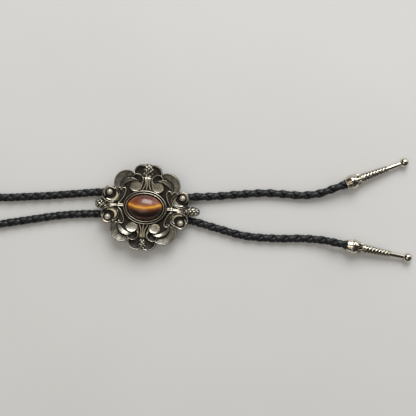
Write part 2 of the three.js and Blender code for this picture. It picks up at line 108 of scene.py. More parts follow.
class Graph:
    """The nodes of one material, or of the world: its surface and whatever feeds it."""

    def __init__(self, name, kind="materials", surface="Principled BSDF", **values):
        self.owner = getattr(bpy.data, kind).new(name)
        self.owner.use_nodes = True
        self.tree = self.owner.node_tree
        self.surface = self.tree.nodes[surface]
        self.finish(**values)

    def feed(self, node, values):
        """Sets each named socket of a node to a number or colour, or links it to a signal."""
        for key, value in values.items():
            socket = node.inputs[key]
            if isinstance(value, Signal):
                self.tree.links.new(value.socket, socket)
            else:
                socket.default_value = value

    def node(self, kind, settings=None, values=None, output=0):
        """Adds a node of a kind, applies its settings, feeds its sockets and returns one of its outputs."""
        node = self.tree.nodes.new("ShaderNode" + kind)
        for key, value in (settings or {}).items():
            setattr(node, key, value)
        self.feed(node, values or {})
        return Signal(self, node.outputs[output])

    def math(self, operation, *values):
        return self.node("Math", {"operation": operation}, dict(enumerate(values)))

    def ramp(self, value, stops):
        """A colour that follows a number. Each stop is a place from 0 to 1 and its colour."""
        colour = self.node("ValToRGB", values={"Fac": value})
        elements = colour.socket.node.color_ramp.elements
        while len(elements) < len(stops):
            elements.new(1.0)
        for element, (place, shade) in zip(elements, stops):
            element.position = place
            element.color = (*shade, 1.0)
        return colour

    def range(self, value, low, high):
        """0 below the low number, 1 above the high one, and a soft rise between them."""
        values = {"Value": value, "From Min": low, "From Max": high}
        return self.node("MapRange", {"interpolation_type": "SMOOTHSTEP"}, values)

    def mix(self, share, first, second, blend="MIX"):
        """A colour between two colours. Sockets 6 and 7 of a Mix node are its two colours."""
        settings = {"data_type": "RGBA", "blend_type": blend}
        return self.node("Mix", settings, {0: share, 6: first, 7: second}, output=2)

    def place(self):
        """The object's own coordinates, in metres."""
        return self.node("TexCoord", output=3)

    def attribute(self, name):
        """A number stored on the mesh's points."""
        return self.node("Attribute", {"attribute_name": name}, output=2)

    def axes(self, vector):
        """The three numbers of a vector."""
        split = self.node("SeparateXYZ", values={"Vector": vector}).socket.node
        return [Signal(self, output) for output in split.outputs]

    def noise(self, scale, detail=4.0, roughness=0.5, at=None):
        """Cloudy noise around 0.5; scale is in bumps to the metre on object coordinates."""
        values = {"Vector": at or self.place(), "Scale": scale, "Detail": detail, "Roughness": roughness}
        return self.node("TexNoise", values=values)

    def bump(self, height, distance, strength=1.0):
        """Feeds the surface's normal: height 1 stands one distance, in metres, above height 0."""
        values = {"Height": height, "Distance": distance, "Strength": strength}
        self.feed(self.surface, {"Normal": self.node("Bump", values=values)})

    def finish(self, **values):
        """Feeds the named sockets of the surface and gives the material or the world back."""
        self.feed(self.surface, {key.replace("_", " "): value for key, value in values.items()})
        return self.owner


print("Shader maths ready")

# %% [markdown]
# ## The table and the light
# The table is one pale matt sheet. Soft daylight comes from a broad window beyond the ornament's upper
# edge, and pale walls all round fill the shadows. Polished metal shows what is around it more than its own
# colour: a dark room with a bright window draws the dark and bright bands on the silver. So the room is
# pale for every matt surface and dark in every reflection. A low window on the right and a dim warm patch
# of ceiling are there mostly to be seen in the metal. The plain view transform keeps the table pale and the
# blackened hollows black.

# %% Table
TABLE_SIZE = 8000.0
TABLE_DARK = (0.545, 0.540, 0.528, 1)
TABLE_LIGHT = (0.60, 0.595, 0.582, 1)

table_graph = Graph("table_paper", Roughness=0.75)
table_clouds = table_graph.noise(9.0, detail=3.0)
table_graph.finish(Base_Color=table_graph.mix(table_clouds, TABLE_DARK, TABLE_LIGHT))

half = TABLE_SIZE / 2 * MM
table_corners = [(-half, -half, 0), (half, -half, 0), (half, half, 0), (-half, half, 0)]
table_mesh = bpy.data.meshes.new("table")
table_mesh.from_pydata(table_corners, [], [(0, 1, 2, 3)])
table_mesh.materials.append(table_graph.owner)
table = bpy.data.objects.new("table", table_mesh)
bpy.context.scene.collection.objects.link(table)
print("Table", TABLE_SIZE, "mm wide")

# %% Lamps
# Each lamp: its place, width and height in millimetres, power in watts, and colour
LAMPS = [
    ("window", (90, 900, 880), (780, 780), 13.4, (0.99, 1.0, 1.0)),
    ("side window", (640, 580, 330), (620, 460), 1.6, (0.96, 0.98, 1.0)),
    ("lit ceiling", (-330, -200, 1080), (1100, 700), 2.4, (1.0, 0.87, 0.66)),
]


def add_lamp(name, place, size, power, colour):
    """A rectangular lamp at a place, turned so that it faces the origin."""
    data = bpy.data.lights.new(name, "AREA")
    data.shape = "RECTANGLE"
    data.size, data.size_y = (side * MM for side in size)
    data.energy = power
    data.color = colour
    lamp = bpy.data.objects.new(name, data)
    lamp.location = [value * MM for value in place]
    lamp.rotation_euler = (-lamp.location).to_track_quat("-Z", "Y").to_euler()
    bpy.context.scene.collection.objects.link(lamp)


for lamp_row in LAMPS:
    add_lamp(*lamp_row)

ROOM_LIGHT = 0.37
ROOM_MIRRORED = 0.04


def room_light():
    """A world that lights matt surfaces and is seen at one strength, and is mirrored at a much darker one:
    strength = light + (mirrored - light) * is it a reflected ray."""
    graph = Graph("room_light", "worlds", "Background", Color=(0.97, 0.985, 1.0, 1))
    reflected = graph.node("LightPath", output="Is Glossy Ray")
    return graph.finish(Strength=ROOM_LIGHT + reflected * (ROOM_MIRRORED - ROOM_LIGHT))


bpy.context.scene.world = room_light()
bpy.context.scene.view_settings.view_transform = "Standard"
print("Lamps:", [row[0] for row in LAMPS])

# %% [markdown]
# ## Surfaces from arrays
# Every new piece is a grid of points that numpy works out all at once, from two numbers that run over the
# surface. A loop that moves the points one by one gives the same shape, but is far slower. The helpers join
# such a grid with faces, close its ends and put it into a Blender mesh.

# %% Mesh helpers
def full_turn(count):
    """Equal angles once round, in radians."""
    return np.linspace(0, 2 * math.pi, count, endpoint=False)


def oval_rings(half_x, half_y, height, columns):
    """Oval rings as rings x columns x 3: half_x * cos(angle), half_y * sin(angle) and the height."""
    x, y = half_x * np.cos(full_turn(columns)), half_y * np.sin(full_turn(columns))
    return np.stack([x, y, np.broadcast_to(height, x.shape)], axis=-1)


def grid_faces(rows, columns, start=0, round_rows=False):
    """Faces of four corners between neighbouring rows and columns. The last column joins the first, and the
    last row does if the rows go round too."""
    index = start + np.arange(rows * columns).reshape(rows, columns)
    index = np.hstack([index, index[:, :1]])
    if round_rows:
        index = np.vstack([index, index[:1]])
    corners = [index[:-1, :-1], index[:-1, 1:], index[1:, 1:], index[1:, :-1]]
    return np.stack(corners, axis=-1).reshape(-1, 4)


def fan_faces(ring, centre):
    """Triangles from each pair of neighbours in a ring of point numbers to one centre point."""
    following = np.roll(ring, -1)
    return np.stack([ring, following, np.full(len(ring), centre)], axis=-1)


def inside_out(points, face_sets):
    """True if the volume is negative: the sum of a . (b x c) over all triangles a, b, c of the faces."""
    total = 0.0
    for faces in face_sets:
        for third in range(2, faces.shape[1]):
            a, b, c = points[faces[:, 0]], points[faces[:, third - 1]], points[faces[:, third]]
            total += np.einsum("ij,ij->", a, np.cross(b, c))
    return total < 0


def add_piece(name, points, face_sets, material, slot, node, numbers, crease=60.0):
    """A mesh object at the origin that rides on the body, replaces a CAD node and has smooth shading.
    points is in millimetres; face_sets are arrays of faces; numbers are stored on the points by name."""
    numbers = {key: np.broadcast_to(values, points.shape[:-1]).ravel() for key, values in numbers.items()}
    points = points.reshape(-1, 3) * MM
    if inside_out(points, face_sets):
        face_sets = [faces[:, ::-1] for faces in face_sets]
    sizes = np.concatenate([np.full(len(faces), faces.shape[1]) for faces in face_sets])
    corners = np.concatenate([faces.ravel() for faces in face_sets])
    mesh = bpy.data.meshes.new(name)
    mesh.vertices.add(len(points))
    mesh.vertices.foreach_set("co", points.astype(np.float32).ravel())
    mesh.loops.add(len(corners))
    mesh.loops.foreach_set("vertex_index", corners.astype(np.int32))
    mesh.polygons.add(len(sizes))
    mesh.polygons.foreach_set("loop_start", (np.cumsum(sizes) - sizes).astype(np.int32))
    mesh.update(calc_edges=True)
    mesh.shade_smooth()
    mesh.set_sharp_from_angle(angle=math.radians(crease))
    for key, values in numbers.items():
        stored = mesh.attributes.new(key, "FLOAT", "POINT")
        stored.data.foreach_set("value", values.astype(np.float32))
    mesh.materials.append(material)
    piece = bpy.data.objects.new(name, mesh)
    bpy.context.scene.collection.objects.link(piece)
    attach(piece, "root")
    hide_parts(node)
    print(f"{name}: {len(points)} points, {len(sizes)} faces")
    return piece


def add_closed(name, copies, material, slot, node, numbers):
    """Closed grids of one size, copies x rows x columns x 3 in millimetres, as one piece. The first and last
    rows of a grid are single spots, so triangles to one point close them. Points that no face uses go."""
    count, rows, columns = copies.shape[:3]
    first = fan_faces(np.arange(columns, 2 * columns)[::-1], 0)
    last = fan_faces(np.arange((rows - 2) * columns, (rows - 1) * columns), (rows - 1) * columns)
    start = (np.arange(count) * rows * columns)[:, None, None]
    quads = (grid_faces(rows - 2, columns, start=columns) + start).reshape(-1, 4)
    triangles = (np.vstack([first, last]) + start).reshape(-1, 3)
    used = np.unique(np.concatenate([quads.ravel(), triangles.ravel()]))
    renumber = np.zeros(count * rows * columns, dtype=int)
    renumber[used] = np.arange(len(used))
    shape = copies.shape[:3]
    numbers = {key: np.broadcast_to(values, shape).ravel()[used] for key, values in numbers.items()}
    faces = [renumber[quads], renumber[triangles]]
    points = copies.reshape(-1, 3)[used]
    return add_piece(name, points, faces, material, slot, node, numbers, crease=50.0)


print("Mesh helpers ready")

# %% [markdown]
# ## Black leather
# Braiding leather is dyed through and waxed. It is nearly black, with a soft sheen on the crown of each
# lace and faint wrinkles across it where it bends. The braid stores how far along and across its lace each
# point is, so the wrinkles turn with the laces instead of lying across the whole cord.

# %% Leather finish
def leather_finish():
    graph = Graph("black_leather", Roughness=0.5, Specular_IOR_Level=0.32, Coat_Roughness=0.28)
    along = graph.attribute("lace_along")
    across = graph.attribute("lace_across")
    number = graph.attribute("lace_number")
    lace = graph.node("CombineXYZ", values={"X": along * 5.0, "Y": across * 1.4, "Z": number})
    wrinkle = graph.noise(1.0, detail=5.0, roughness=0.6, at=lace)
    grain = graph.noise(2600.0, detail=3.0)
    worn = graph.range(wrinkle + grain * 0.5, 0.62, 0.95)
    edge = graph.range(graph.math("ABSOLUTE", across), 0.62, 1.0)
    colour = graph.mix(worn, (0.004, 0.0045, 0.0055, 1), (0.020, 0.021, 0.025, 1))
    # Painted shade: each lace is coloured darker towards its edges, where it meets its neighbours in the
    # grooves.
    colour = graph.mix(edge, colour, (0.002, 0.002, 0.0025, 1))
    graph.bump(wrinkle * 0.6 + grain * 0.4, 0.12 * MM, 0.6)
    roughness = 0.60 - worn * 0.22 + edge * 0.2
    return graph.finish(Base_Color=colour, Roughness=roughness, Coat_Weight=0.25 - edge * 0.25)


black_leather = leather_finish()
print("Leather:", len(black_leather.node_tree.nodes), "nodes")

# %% [markdown]
# ## The cord
# The cord is braided from four flat laces. Two wind to the left and two to the right, and where they meet
# each goes over one and under the next. The routes below are those of the CAD tubes: points listed one by
# one, joined by a smooth curve.

# %% Cord routes
CORD_DIAMETER = 4.1
CLIP_LIFT = 1.3

# x and y in millimetres, then the share of the clip's lift and of the tip's lift there, where there is any
NECK_ROUTE = [
    (-0.15, 6, 1), (-5, 6, 1), (-10.5, 6, 1), (-16, 6.2, 0.85), (-24, 6, 0.4), (-38, 3.8), (-51.7, 1.5),
    (-64.4, -0.3), (-77.6, -1.9), (-104, -1.5), (-130, 5.5), (-154, 17.5), (-180, 33), (-210, 47),
    (-243, 51), (-275, 42), (-299, 21), (-311, -9), (-308, -41), (-291, -69), (-265, -87.5), (-233, -94),
    (-201, -87), (-172, -70.5), (-147, -51), (-122, -34), (-99, -22.8), (-76.2, -16), (-61.6, -12.4),
    (-47, -8.9), (-37, -7.1, 0.02), (-24, -5.7, 0.4), (-16, -5.8, 0.85), (-10.5, -6, 1), (-5, -6, 1),
    (-0.15, -6, 1),
]
TAIL_UPPER_ROUTE = [
    (0.15, 6, 1), (5, 6, 1), (10.5, 6.1, 1), (16, 6.8, 0.85), (23, 7.7, 0.4), (36.5, 9.4), (49.9, 11.7),
    (63.1, 13.6), (72, 13.9), (82.8, 14.2, 0, 0.15), (91.7, 16.1, 0, 0.5),
]
TAIL_LOWER_ROUTE = [
    (0.15, -6, 1), (5, -6, 1), (10.5, -5.8, 1), (16, -5.2, 0.85), (23.5, -4.8, 0.4), (37.8, -7.4),
    (54.1, -10.2), (72.7, -9.9), (85, -8.7, 0, 0.15), (96, -8.6, 0, 0.55),
]

# %% Tip sizes
# Along a tip from its cord end: a fluted collar, a bell, an engraved cone, a smooth neck and a ball
COLLAR_LENGTH = 3.4
BELL_LENGTH = 5.4
BELL_DIAMETER = 8.0
CONE_LENGTH = 12.6
NECK_LENGTH = 9.8
END_BALL_DIAMETER = 4.9
SOCKET_DEPTH = 6.0
SOCKET_AIR = 0.3

# The middle of each tip's cord end in millimetres, and the way it points in degrees
TIPS = {
    "tip_upper": ((104.8, 22.2), 25.7),
    "tip_lower": ((108.2, -9.9), -6.4),
}

tip_length = COLLAR_LENGTH + BELL_LENGTH + CONE_LENGTH + NECK_LENGTH + END_BALL_DIAMETER
ball_at = tip_length - END_BALL_DIAMETER / 2
bell_to_ball = ball_at - COLLAR_LENGTH
tip_slope = math.atan2(BELL_DIAMETER / 2, bell_to_ball)
tip_slope -= math.asin(END_BALL_DIAMETER / 2 / math.hypot(bell_to_ball, BELL_DIAMETER / 2))
tip_height = BELL_DIAMETER / 2 * math.cos(tip_slope) + COLLAR_LENGTH * math.sin(tip_slope)
tip_lift = tip_height - CORD_DIAMETER / 2


def tip_axis(name):
    """Start and direction of a tip's axis. It lies on its bell and its ball, so it slopes down a little."""
    base, heading = TIPS[name]
    angle = math.radians(heading)
    along = np.array([math.cos(angle), math.sin(angle), -math.tan(tip_slope)])
    return np.array([*base, tip_height]), along / np.linalg.norm(along)


print(f"Tips {tip_length:.1f} mm long, sloping {math.degrees(tip_slope):.2f} degrees")

# %% Smooth lines
def around_axis(tangent, angle, radius):
    """The way out from an axis: radius * (cos(angle) * sideways + sin(angle) * upward). Sideways is level,
    so these two directions never twist along a line."""
    sideways = np.cross([0.0, 0.0, 1.0], tangent)
    sideways /= np.linalg.norm(sideways, axis=-1, keepdims=True)
    upward = np.cross(tangent, sideways)
    return radius[..., None] * (np.cos(angle)[..., None] * sideways + np.sin(angle)[..., None] * upward)


class Line:
    """A smooth line through a few points. Between two of them it is a cubic, whose slope at each end comes
    from the points before and after, weighted by the square roots of their distances."""

    def __init__(self, points, samples=40):
        points = np.asarray(points, dtype=float)
        before, after = 2 * points[0] - points[1], 2 * points[-1] - points[-2]
        knots = np.vstack([before, points, after])
        a, b, c, d = knots[:-3], knots[1:-2], knots[2:-1], knots[3:]
        ab, bc, cd = (np.sqrt(np.linalg.norm(q - p, axis=1))[:, None] for p, q in ((a, b), (b, c), (c, d)))
        leaving = ((b - a) / ab - (c - a) / (ab + bc) + (c - b) / bc) * bc
        arriving = ((c - b) / bc - (d - b) / (bc + cd) + (d - c) / cd) * bc
        t = np.linspace(0, 1, samples, endpoint=False)[None, :, None]
        b, c, leaving, arriving = (each[:, None, :] for each in (b, c, leaving, arriving))
        curve = (2 * t**3 - 3 * t**2 + 1) * b + (t**3 - 2 * t**2 + t) * leaving
        curve = curve + (3 * t**2 - 2 * t**3) * c + (t**3 - t**2) * arriving
        self.points = np.vstack([curve.reshape(-1, 3), points[-1]])
        steps = np.linalg.norm(np.diff(self.points, axis=0), axis=1)
        self.distances = np.concatenate([[0.0], np.cumsum(steps)])
        self.length = self.distances[-1]
        self.tangents = np.gradient(self.points, self.distances, axis=0)

    def sample(self, table, distance):
        columns = [np.interp(distance, self.distances, table[:, axis]) for axis in range(3)]
        return np.stack(columns, axis=-1)

    def at(self, distance):
        """The place and the direction at a distance from the line's start."""
        tangent = self.sample(self.tangents, distance)
        tangent /= np.linalg.norm(tangent, axis=-1, keepdims=True)
        return self.sample(self.points, distance), tangent


def lifted(route):
    """Route rows as points: the cord's centre lies one radius above the table plus what lifts it there."""
    rows = np.array([(*row, 0, 0)[:4] for row in route], dtype=float)
    height = CORD_DIAMETER / 2 + rows[:, 2] * CLIP_LIFT + rows[:, 3] * tip_lift
    return np.column_stack([rows[:, :2], height])


def tail_points(route, tip):
    """A tail's route, with four last points along the tip's own axis into its socket."""
    start, along = tip_axis(tip)
    end = SOCKET_DEPTH - SOCKET_AIR
    straight = start + np.outer([-end, 0.0, end / 2, end], along)
    return np.vstack([lifted(route), straight])


# Each tail: its route, its tip and how far its braid is rolled, in radians
TAILS = {
    "tail_upper": (TAIL_UPPER_ROUTE, "tip_upper", 0.2),
    "tail_lower": (TAIL_LOWER_ROUTE, "tip_lower", 1.1),
}

neck_line = Line(lifted(NECK_ROUTE))
tail_lines = {name: Line(tail_points(route, tip)) for name, (route, tip, roll) in TAILS.items()}
print(f"Neck loop {neck_line.length:.1f} mm long")
for tail_name, tail_line in tail_lines.items():
    print(f"{tail_name} {tail_line.length:.1f} mm long")

# %% [markdown]
# ## Braiding
# A lace is a flat band on a round core. Unrolled, its middle climbs along a straight slanted line; rolled
# up, that is a helix. Its distance from the core's axis swings in and out twice per turn, opposite for the
# two directions, and that is what weaves over and under. Curves with a flat bevel could twist like this
# too, but their bands would cut through each other.

# %% Braid
BRAID_TURN = 13.2
BRAID_RADIUS = 1.42
WEAVE_DEPTH = 0.36
WEAVE_SQUARENESS = 0.6
LACE_WIDTH = 3.3
LACE_THICKNESS = 1.05
LACE_CROWN = 0.24

# Powers of the cosine and sine of the lace's section: below 1 they make an oval fuller, towards a rectangle
SECTION_POWERS = (0.75, 0.85)
TABLE_AIR = 0.02
RINGS_PER_TURN = 28
SECTION_POINTS = 12


def signed_power(value, power):
    """The size of a number raised to a power, with the number's own sign."""
    return np.sign(value) * np.abs(value) ** power


def braid(line, roll):
    """Points of four laces on a line, as an array of laces x rings x section points x 3, and stored numbers.
    Angle of a lace's middle: hand * 2 pi * distance / turn + phase. Its radius: mean + hand * weave * c,
    where c is cos(4 pi * distance / turn) raised to a power below 1 with its sign kept, so that a lace
    stays up for long and dives quickly. A point across the lace moves along and round in proportion, and
    sinks towards the edges by crown * share^2. Where a lace meets the table it is pressed flat."""
    rings = int(line.length / BRAID_TURN * RINGS_PER_TURN)
    distance = np.linspace(0, line.length, rings)[None, :, None]
    hand = np.array([1, 1, -1, -1])[:, None, None]
    phase = np.array([0, math.pi, 0, math.pi])[:, None, None]
    across = signed_power(np.cos(full_turn(SECTION_POINTS)), SECTION_POWERS[0])
    thick = signed_power(np.sin(full_turn(SECTION_POINTS)), SECTION_POWERS[1])
    slant = math.atan2(2 * math.pi * BRAID_RADIUS, BRAID_TURN)
    width = across * LACE_WIDTH / 2
    middle_angle = hand * 2 * math.pi * distance / BRAID_TURN + phase + roll
    angle = middle_angle + width * math.cos(slant) / BRAID_RADIUS
    swing = hand * WEAVE_DEPTH * signed_power(np.cos(4 * math.pi * distance / BRAID_TURN), WEAVE_SQUARENESS)
    radius = BRAID_RADIUS + swing + thick * LACE_THICKNESS / 2 - LACE_CROWN * across**2
    place_along = np.clip(distance - hand * width * math.sin(slant), 0, line.length)
    centre, tangent = line.at(place_along)
    points = centre + around_axis(tangent, angle, radius)
    points[..., 2] = np.maximum(points[..., 2], TABLE_AIR)
    number = np.arange(4)[:, None, None] * 7.3
    return points, {"lace_along": distance / BRAID_TURN, "lace_across": across, "lace_number": number}


def braid_faces(laces, rings, section):
    """Faces of the laces' sides, and one flat face on each of their ends."""
    sides = [grid_faces(rings, section, start=lace * rings * section) for lace in range(laces)]
    first = np.arange(laces)[:, None] * rings * section + np.arange(section)
    last = first + (rings - 1) * section
    return [np.vstack(sides), first[:, ::-1], last]


def add_braid(name, line, roll, node):
    points, numbers = braid(line, roll)
    faces = braid_faces(*points.shape[:3])
    return add_piece(name, points, faces, black_leather, "black_leather", node, numbers)


add_braid("neck_braid", neck_line, 0.6, "neck_loop")
tail_pieces = {name: add_braid(name + "_braid", tail_lines[name], roll, name)
               for name, (route, tip, roll) in TAILS.items()}

# %% [markdown]
# ## Antique silver
# The ornament is cast in white metal, plated and then blackened. The black is wiped off again, so it stays
# in every hollow and the edges shine. The mesh stores how far each point is rubbed as one number, worked
# out from the relief itself: a spot that lies lower than its neighbourhood is black, and one that stands out
# is bright. On the balls and the flower heads the same number also holds painted light: their upper sides
# are painted brighter and their lower sides darker, as if lit from above.

# %% Silver finishes
def antique_silver_finish():
    graph = Graph("antique_silver", Metallic=1.0)
    grain = graph.noise(2200.0, detail=4.0, roughness=0.65)
    blotch = graph.noise(420.0, detail=3.0)
    wear = graph.attribute("wear")
    satin = graph.attribute("satin")
    bright = graph.range(wear + (grain - 0.5) * 0.35 + (blotch - 0.5) * 0.25, 0.30, 0.72)
    tone = graph.mix(blotch, (0.50, 0.462, 0.375, 1), (0.72, 0.685, 0.59, 1))
    # On the balls and the flower heads this mix paints light and shade: brighter on their upper sides,
    # darker below.
    colour = graph.mix(bright, (0.022, 0.019, 0.014, 1), tone)
    graph.bump(grain, 0.05 * MM, 0.55)
    metal = 0.55 + bright * 0.45 - satin * 3.0
    return graph.finish(Base_Color=colour, Roughness=0.50 - bright * 0.22 + satin, Metallic=metal)


antique_silver = antique_silver_finish()

# Every piece of the ornament: its material, its slot name, and the CAD node that it replaces
ORNAMENT = (antique_silver, "antique_silver", "slide_casting")
print("Antique silver:", len(antique_silver.node_tree.nodes), "nodes")

# %% [markdown]
# ## The relief
# A casting comes out of a mould that opens upwards, so its face never overhangs and can be worked out as a
# height over each spot. Saucers with raised rims are laid on one another, hollows are sunk into them and
# round wires are laid across. The ornament is the same in its four quarters, so the tables hold only one
# and the formulas read the distance from each axis.

# %% Relief tables
HALF_LENGTH = 23.3
HALF_WIDTH = 22.7
BASE_HEIGHT = 1.3
EDGE_SOFTNESS = 0.26

# Saucers from the lowest to the highest, in millimetres: middle x and y, half sizes, width of the rim,
# height of the rim and of the floor, and polish from 0, left black, to 1, rubbed bright
SAUCERS = [
    ("crown lobe", 3.1, 18.2, 4.4, 4.4, 0.62, 2.55, 1.25, 0.36),
    ("corner lobe", 10.7, 12.1, 6.9, 6.9, 0.66, 2.80, 1.30, 0.54),
    ("crown curl", 5.35, 14.6, 3.25, 3.25, 0.60, 3.15, 1.45, 0.36),
    ("crescent", 8.45, 9.85, 5.4, 5.4, 0.55, 3.50, 2.00, 0.68),
    ("leaf", 14.1, 5.5, 3.0, 3.9, 0.30, 2.00, 1.70, 0.30),
    ("volute", 18.25, 5.05, 5.0, 4.05, 0.48, 3.30, 2.40, 0.60),
    ("volute leaf", 17.95, 4.85, 3.75, 3.0, 0.30, 2.75, 2.45, 0.85),
    ("ball cup", 19.4, 6.75, 3.25, 3.25, 1.10, 3.35, 2.50, 0.70),
    ("inner cup", 6.05, 10.75, 3.25, 2.8, 0.34, 3.65, 3.15, 0.62),
]

# Hollows sunk into the named saucer, and only into it: middle x and y, half sizes and height of the floor
HOLLOWS = [
    ("crown lobe", 0.0, 12.6, 3.6, 4.2, 1.15),
    ("crescent", 5.2, 4.5, 9.45, 9.45, 1.25),
    ("volute", 18.25, 5.05, 4.4, 3.45, 1.45),
    ("volute leaf", 18.9, 5.6, 3.2, 2.8, 1.10),
    ("ball cup", 18.85, 6.15, 2.8, 2.8, 0.95),
]

# How much the face of a saucer leans inwards: its height grows by this share of the distance from its
# middle, away from the ornament's middle
LEANS = {"inner cup": 0.17, "corner lobe": 0.05}

# Wires laid over the relief: their radius, then x, y and height of their axis at each point
WIRES = [
    ("leaf curl", 0.34, [
        (14.6, 0.9, 2.0), (13.2, 2.2, 2.3), (11.8, 4.4, 2.5), (10.9, 6.6, 2.6), (10.75, 8.3, 2.65),
        (11.5, 9.35, 2.65), (12.6, 9.2, 2.65), (13.3, 8.2, 2.5)
    ]),
    ("leaf curl end", 0.55, [(13.1, 8.6, 2.35), (13.3, 8.2, 2.35)]),
    ("curl tail", 0.33, [
        (2.35, 15.6, 2.85), (2.3, 14.0, 2.9), (2.55, 12.2, 2.9), (2.9, 10.8, 2.9), (3.3, 9.4, 3.1)
    ]),
    ("crown stem", 0.52, [
        (0.0, 16.3, 1.4), (0.0, 16.0, 2.55), (0.0, 14.0, 2.95), (0.0, 11.5, 2.9), (0.0, 9.2, 2.7)
    ]),
    ("crown leaf", 0.55, [(0.7, 16.25, 1.3), (0.72, 15.95, 2.4), (0.6, 14.8, 2.75), (0.25, 13.2, 2.6)]),
    ("crown stem side", 0.42, [
        (1.3, 16.2, 1.3), (1.35, 15.9, 2.35), (1.1, 14.2, 2.8), (0.95, 12.4, 2.85), (1.35, 10.9, 2.85),
        (2.1, 9.3, 2.9)
    ]),
    ("side stem", 0.38, [
        (11.5, 0.4, 2.6), (13.3, 0.4, 2.7), (16.0, 0.32, 2.5), (18.6, 0.36, 2.4), (19.9, 0.4, 2.0)
    ]),
    ("side stem lump", 0.62, [(13.6, 0.5, 2.75), (14.2, 0.45, 2.75)]),
    ("side leaf", 0.26, [(17.0, 0.8, 2.3), (18.0, 1.05, 2.4), (19.0, 1.1, 2.3), (20.0, 1.3, 1.9)]),
    ("lobe rib", 0.2, [(16.2, 10.4, 1.8), (15.9, 13.9, 1.9), (13.6, 16.5, 1.9), (10.2, 17.6, 1.85)]),
]
print("A quarter has", len(SAUCERS), "saucers,", len(HOLLOWS), "hollows and", len(WIRES), "wires")

# %% Relief formulas
def soft_step(depth, width=EDGE_SOFTNESS):
    """0 outside an edge, 1 inside, and 3 t^2 - 2 t^3 across its width."""
    t = np.clip(depth / width, 0, 1)
    return t * t * (3 - 2 * t)


def zigzag(value):
    """1 at each whole number, 0 midway between two of them, and straight in between."""
    return 2 * np.abs(value % 1 - 0.5)


def oval_depth(x, y, middle_x, middle_y, half_x, half_y):
    """Depth inside an oval in millimetres, (1 - share of the radius) * smaller half size, and that share."""
    share = np.hypot((x - middle_x) / half_x, (y - middle_y) / half_y)
    return (1 - share) * min(half_x, half_y), share


def saucer_height(depth, share, half_size, rim_width, rim, floor):
    """A round bead along the edge, then a bowl: floor + (shoulder - floor) * share^2.4."""
    bead = np.sqrt(np.clip(1 - (2 * depth / rim_width - 1) ** 2, 0, 1))
    shoulder = rim - rim_width * 0.6
    inner_share = share / (1 - rim_width / half_size)
    bowl = floor + (shoulder - floor) * np.clip(inner_share, 0, 1) ** 2.4
    return np.where(depth < rim_width, shoulder + rim_width * 0.6 * bead, bowl)


def wire_height(x, y, radius, points):
    """The upper half of a round wire along a line: height of its axis + sqrt(radius^2 - distance^2)."""
    line = Line(points, samples=6).points
    start, end = line[:-1], line[1:]
    step = end[:, :2] - start[:, :2]
    length2 = np.maximum((step**2).sum(axis=1), 1e-9)
    spot = np.stack([x.ravel(), y.ravel()], axis=-1)[:, None, :] - start[None, :, :2]
    t = np.clip((spot * step).sum(axis=-1) / length2, 0, 1)
    distance = np.linalg.norm(spot - t[..., None] * step, axis=-1)
    nearest = distance.argmin(axis=1)
    rows = np.arange(len(nearest))
    share = t[rows, nearest]
    axis_height = start[nearest, 2] * (1 - share) + end[nearest, 2] * share
    reach = distance[rows, nearest].reshape(x.shape)
    rise = np.sqrt(np.clip(radius**2 - reach**2, 0, None))
    skirt = soft_step(1.35 * radius - reach, 0.5 * radius)
    return (axis_height.reshape(x.shape) - 0.35 * radius + rise), skirt


def relief_height(x, y):
    """Height of the ornament's face above its back, in millimetres, over x and y from its middle, and how
    bright each spot is rubbed. A wobble of up to 0.15 mm keeps the four quarters from being quite alike."""
    wobble_x = 0.09 * np.sin(0.31 * y + 0.9) + 0.06 * np.sin(0.83 * y + 0.4 * x)
    wobble_y = 0.09 * np.sin(0.27 * x + 2.1) + 0.06 * np.sin(0.71 * x - 0.5 * y + 1.0)
    x, y = np.abs(x + wobble_x), np.abs(y + wobble_y)
    height = np.full(x.shape, BASE_HEIGHT)
    polish = np.zeros(x.shape)
    for name, middle_x, middle_y, half_x, half_y, rim_width, rim, floor, rubbed in SAUCERS:
        depth, share = oval_depth(x, y, middle_x, middle_y, half_x, half_y)
        inside = soft_step(depth)
        saucer = saucer_height(depth, share, min(half_x, half_y), rim_width, rim, floor)
        outwards = (x - middle_x) * middle_x + (y - middle_y) * middle_y
        saucer = saucer + LEANS.get(name, 0.0) * outwards / math.hypot(middle_x, middle_y)
        height = height * (1 - inside) + inside * saucer
        bright = np.where(depth < rim_width, 1.0, rubbed)
        polish = polish * (1 - inside) + inside * bright
        for after, hollow_x, hollow_y, long, wide, hollow_floor in HOLLOWS:
            if after == name:
                hollow_depth, share = oval_depth(x, y, hollow_x, hollow_y, long, wide)
                sunk = soft_step(hollow_depth, 0.3) * inside
                height = height * (1 - sunk) + sunk * np.minimum(height, hollow_floor + 0.3 * share**3)
                polish = polish * (1 - sunk)
    for name, radius, points in WIRES:
        wire, skirt = wire_height(x, y, radius, points)
        above = wire > height
        height = np.where(above, height * (1 - skirt) + wire * skirt, height)
        polish = np.where(above, np.maximum(polish, skirt), polish)
    return height, polish


lobe_floor = relief_height(np.array([10.7]), np.array([12.1]))[0]
print("Height of the corner lobe's floor in mm:", lobe_floor.round(2))

# %% Outline
def oval_reach(angles, middle_x, middle_y, half_x, half_y):
    """Distance from the ornament's middle to an oval's far side in each direction, or 0 where it misses.
    It is the larger root t of |(t * direction - middle) / half size| = 1."""
    along_x, along_y = np.cos(angles) / half_x, np.sin(angles) / half_y
    to_x, to_y = middle_x / half_x, middle_y / half_y
    a = along_x**2 + along_y**2
    b = along_x * to_x + along_y * to_y
    under_root = b**2 - a * (to_x**2 + to_y**2 - 1)
    return np.where(under_root > 0, (b + np.sqrt(np.clip(under_root, 0, None))) / a, 0.0)


